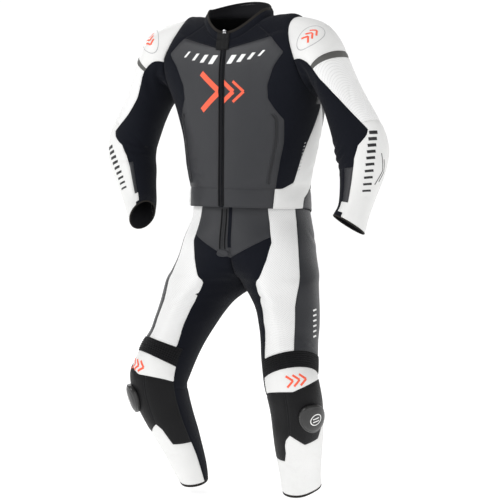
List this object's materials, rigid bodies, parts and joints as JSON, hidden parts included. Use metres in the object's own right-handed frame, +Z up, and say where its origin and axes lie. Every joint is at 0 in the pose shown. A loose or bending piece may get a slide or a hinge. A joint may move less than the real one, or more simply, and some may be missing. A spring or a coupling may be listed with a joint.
{
  "type": "motorcycle race suit",
  "caption": "Two-piece leather and stretch motorcycle race suit: zipped jacket over trousers, ribbed knees and hard knee sliders, filled out as if worn.",
  "frame": {"origin": "middle of the neck opening, just above the front of the collar, where the wearer carries the suit", "axes": "+Z up, the front of the jacket faces -Y, +X is the wearer's left"},
  "size_m": [0.8438, 0.4379, 1.3147],
  "materials": {
    "white_leather": "smooth white cowhide, perforated on the thighs and upper sleeves",
    "grey_leather": "charcoal cowhide, fine grain, semi-gloss",
    "black_leather": "black leather, semi-matt",
    "stretch_cloth": "matt black stretch cloth with a fine weave",
    "ribbed_stretch": "black ribbed bellows",
    "reflective_tape": "dark grey reflective tape",
    "binding": "soft dark binding",
    "slider_plastic": "moulded black plastic",
    "zip_metal": "brushed zinc alloy"
  },
  "bodies": {
    "suit": {"front_band_left": "grey_leather", "side_white_left": "white_leather", "back_band": "grey_leather", "chest_left": "grey_leather", "front_stretch_left": "stretch_cloth", "back": "grey_leather", "yoke_left": "stretch_cloth", "collar": "stretch_cloth", "collar_binding": "binding", "shoulder_white_left": "white_leather", "sleeve_stretch_left": "stretch_cloth", "stripe_left": "reflective_tape", "sleeve_white_left": "white_leather", "forearm_white_left": "white_leather", "gusset_left": "black_leather", "front_band_right": "grey_leather", "side_white_right": "white_leather", "chest_right": "grey_leather", "front_stretch_right": "stretch_cloth", "yoke_right": "stretch_cloth", "shoulder_white_right": "white_leather", "sleeve_stretch_right": "stretch_cloth", "stripe_right": "reflective_tape", "sleeve_white_right": "white_leather", "forearm_white_right": "white_leather", "gusset_right": "black_leather", "front_zip": "stretch_cloth", "seat": "grey_leather", "thigh_side_left": "grey_leather", "thigh_white_left": "white_leather", "front_leather_left": "grey_leather", "fly": "stretch_cloth", "thigh_stretch_left": "stretch_cloth", "knee_white_left": "white_leather", "knee_black_left": "black_leather", "calf_leather_left": "black_leather", "calf_stretch_left": "stretch_cloth", "shin_white_left": "white_leather", "hem_binding_left": "binding", "thigh_side_right": "grey_leather", "thigh_white_right": "white_leather", "front_leather_right": "grey_leather", "thigh_stretch_right": "stretch_cloth", "knee_white_right": "white_leather", "knee_black_right": "black_leather", "calf_leather_right": "black_leather", "calf_stretch_right": "stretch_cloth", "shin_white_right": "white_leather", "hem_binding_right": "binding", "zip_tab": "stretch_cloth", "zip_slider": "zip_metal", "fly_end": "grey_leather", "knee_ribs_left": "ribbed_stretch", "knee_slider_left": "slider_plastic", "knee_ribs_right": "ribbed_stretch", "knee_slider_right": "slider_plastic"},
    "pull": {"pull_tab": "zip_metal"}
  },
  "joints": [
    {"name": "pull_turn", "type": "hinge", "parent": "suit", "child": "pull", "pos_m": [0, -0.0724, -0.0099], "axis": [1, 0, 0], "range_deg": [0, 235]}
  ]
}
